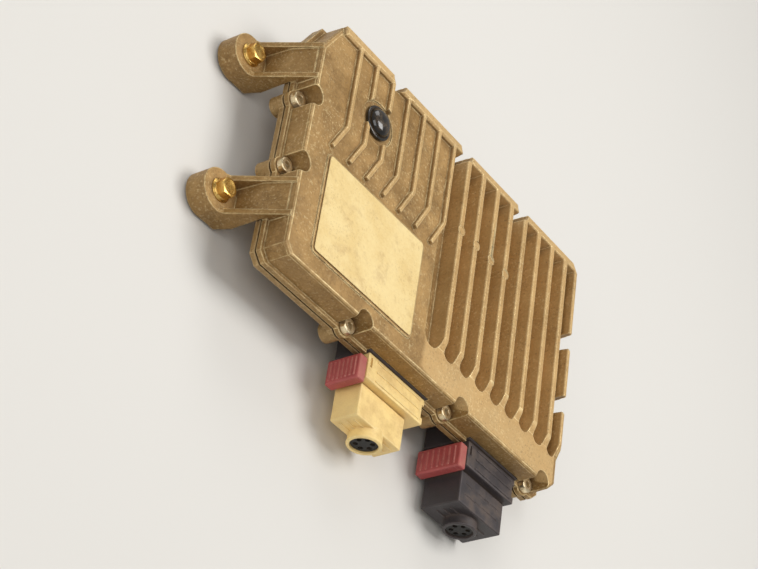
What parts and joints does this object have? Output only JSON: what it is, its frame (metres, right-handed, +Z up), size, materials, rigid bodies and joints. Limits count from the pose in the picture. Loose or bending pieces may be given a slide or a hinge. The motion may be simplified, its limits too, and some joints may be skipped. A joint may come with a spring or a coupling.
{
  "type": "electronic control unit",
  "caption": "Flat finned aluminium control unit on four splayed legs, with a blank label plate, a round vent and two pull-off plugs with sliding locks.",
  "frame": {"origin": "on the floor under the middle of the whole part's box", "axes": "+X along the long side, +Y from the plug side to the far side, +Z up out of the finned face"},
  "size_m": [0.323, 0.2088, 0.0521],
  "materials": {
    "cast_cover": "rough die casting, dusty, fins worn brighter along their crests",
    "cast_base": "rough die casting, dusty",
    "label": "blank cream foil plate, slightly soiled",
    "vent": "glossy black",
    "seal": "matt black rubber",
    "screws": "plated steel, slightly dull",
    "sleeves": "turned steel",
    "bolts": "yellow zinc-plated steel",
    "black_plastic": "glass-filled black nylon, dusty",
    "cream_plastic": "glass-filled cream nylon, slightly soiled",
    "lock_plastic": "maroon moulding"
  },
  "bodies": {
    "unit": {"finned_cover": "cast_cover", "label_plate": "label", "vent_cap": "vent", "base_tray": "cast_base", "cover_gasket": "seal", "cover_screw_far_1": "screws", "cover_screw_far_2": "screws", "cover_screw_far_3": "screws", "cover_screw_left_1": "screws", "cover_screw_left_2": "screws", "cover_screw_right_1": "screws", "cover_screw_right_2": "screws", "cover_screw_near_1": "screws", "cover_screw_near_2": "screws", "cover_screw_near_3": "screws", "foot_sleeve_left_near": "sleeves", "foot_sleeve_left_far": "sleeves", "foot_sleeve_right_near": "sleeves", "foot_sleeve_right_far": "sleeves", "foot_bolt_left_near": "bolts", "foot_bolt_left_far": "bolts", "foot_bolt_right_near": "bolts", "foot_bolt_right_far": "bolts", "socket_a": "black_plastic", "socket_b": "black_plastic"},
    "plug_a": {"plug_a_body": "cream_plastic", "plug_a_hood": "cream_plastic", "plug_a_grommet": "seal"},
    "lock_a": {"slide_lock_a": "lock_plastic"},
    "plug_b": {"plug_b_body": "black_plastic", "plug_b_hood": "black_plastic", "plug_b_grommet": "seal"},
    "lock_b": {"slide_lock_b": "lock_plastic"}
  },
  "joints": [
    {"name": "plug_a_pull", "type": "slide", "parent": "unit", "child": "plug_a", "axis": [0, -1, 0], "range_m": [0, 0.03]},
    {"name": "lock_a_slide", "type": "slide", "parent": "plug_a", "child": "lock_a", "axis": [-1, 0, 0], "range_m": [0, 0.007]},
    {"name": "plug_b_pull", "type": "slide", "parent": "unit", "child": "plug_b", "axis": [0, -1, 0], "range_m": [0, 0.03]},
    {"name": "lock_b_slide", "type": "slide", "parent": "plug_b", "child": "lock_b", "axis": [-1, 0, 0], "range_m": [0, 0.007]}
  ]
}
